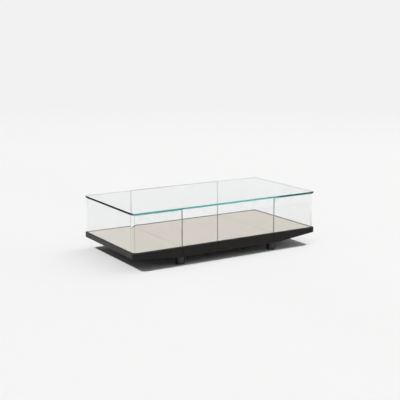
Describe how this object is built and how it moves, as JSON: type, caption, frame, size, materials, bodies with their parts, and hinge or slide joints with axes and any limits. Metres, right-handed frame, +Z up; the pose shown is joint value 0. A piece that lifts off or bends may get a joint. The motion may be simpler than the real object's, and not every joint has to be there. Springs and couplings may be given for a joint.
{
  "type": "display table",
  "caption": "Low glass display table on a dark tapered base with a mirror floor, and a glass-walled drawer that pulls out at each end.",
  "frame": {"origin": "on the floor, under the middle of the table", "axes": "+X along the table to the right-hand drawer, +Y to the rear, +Z up"},
  "size_m": [1.3, 0.658, 0.337],
  "materials": {
    "clear_glass": "clear float glass with ground, polished edges that look blue-green",
    "floor_mirror": "silvered mirror glass with a faint bronze tint",
    "charcoal_lacquer": "warm charcoal satin lacquer on wood",
    "core_board": "stained birch plywood, not seen in use",
    "black_steel": "black powder coat on mild steel",
    "black_foot": "black lacquered turned foot",
    "glide_pad": "black moulded glide pad",
    "plated_steel": "bright zinc plated rolled steel",
    "catch_plastic": "black moulded catch housing"
  },
  "bodies": {
    "table": {"top_glass": "clear_glass", "front_pane": "clear_glass", "rear_pane": "clear_glass", "middle_mirror": "floor_mirror", "front_rail": "charcoal_lacquer", "rear_rail": "charcoal_lacquer", "middle_deck": "core_board", "middle_spine": "core_board", "middle_underpanel": "charcoal_lacquer", "left_bearer": "black_steel", "right_bearer": "black_steel", "front_left_foot": "black_foot", "front_left_glide": "glide_pad", "front_right_foot": "black_foot", "front_right_glide": "glide_pad", "rear_left_foot": "black_foot", "rear_left_glide": "glide_pad", "rear_right_foot": "black_foot", "rear_right_glide": "glide_pad", "left_front_slide_outer": "plated_steel", "left_rear_slide_outer": "plated_steel", "right_front_slide_outer": "plated_steel", "right_rear_slide_outer": "plated_steel", "foot_bolts": "plated_steel", "bearer_screws": "plated_steel", "slide_screws": "plated_steel", "magnetic_catches": "catch_plastic"},
    "left_drawer": {"left_end_glass": "clear_glass", "left_mirror": "floor_mirror", "left_fascia": "charcoal_lacquer", "left_deck": "core_board", "left_underpanel": "charcoal_lacquer", "left_inner_rail": "core_board", "left_front_arm": "black_steel", "left_front_slide_inner": "plated_steel", "left_rear_arm": "black_steel", "left_rear_slide_inner": "plated_steel", "left_arm_screws": "plated_steel", "left_runner_screws": "plated_steel", "left_strike_plates": "plated_steel"},
    "right_drawer": {"right_end_glass": "clear_glass", "right_mirror": "floor_mirror", "right_fascia": "charcoal_lacquer", "right_deck": "core_board", "right_underpanel": "charcoal_lacquer", "right_inner_rail": "core_board", "right_front_arm": "black_steel", "right_front_slide_inner": "plated_steel", "right_rear_arm": "black_steel", "right_rear_slide_inner": "plated_steel", "right_arm_screws": "plated_steel", "right_runner_screws": "plated_steel", "right_strike_plates": "plated_steel"},
    "left_slide_middles": {"left_front_slide_middle": "plated_steel", "left_rear_slide_middle": "plated_steel"},
    "right_slide_middles": {"right_front_slide_middle": "plated_steel", "right_rear_slide_middle": "plated_steel"}
  },
  "joints": [
    {"name": "left_drawer_travel", "type": "slide", "parent": "table", "child": "left_drawer", "axis": [-1, 0, 0], "range_m": [0, 0.3]},
    {"name": "right_drawer_travel", "type": "slide", "parent": "table", "child": "right_drawer", "axis": [1, 0, 0], "range_m": [0, 0.3]},
    {"name": "left_slide_middle_travel", "type": "slide", "parent": "table", "child": "left_slide_middles", "axis": [-1, 0, 0], "range_m": [0, 0.15]},
    {"name": "right_slide_middle_travel", "type": "slide", "parent": "table", "child": "right_slide_middles", "axis": [1, 0, 0], "range_m": [0, 0.15]}
  ],
  "couplings": [
    {"joint": "left_slide_middle_travel", "follows": "left_drawer_travel", "ratio": 0.5},
    {"joint": "right_slide_middle_travel", "follows": "right_drawer_travel", "ratio": 0.5}
  ]
}
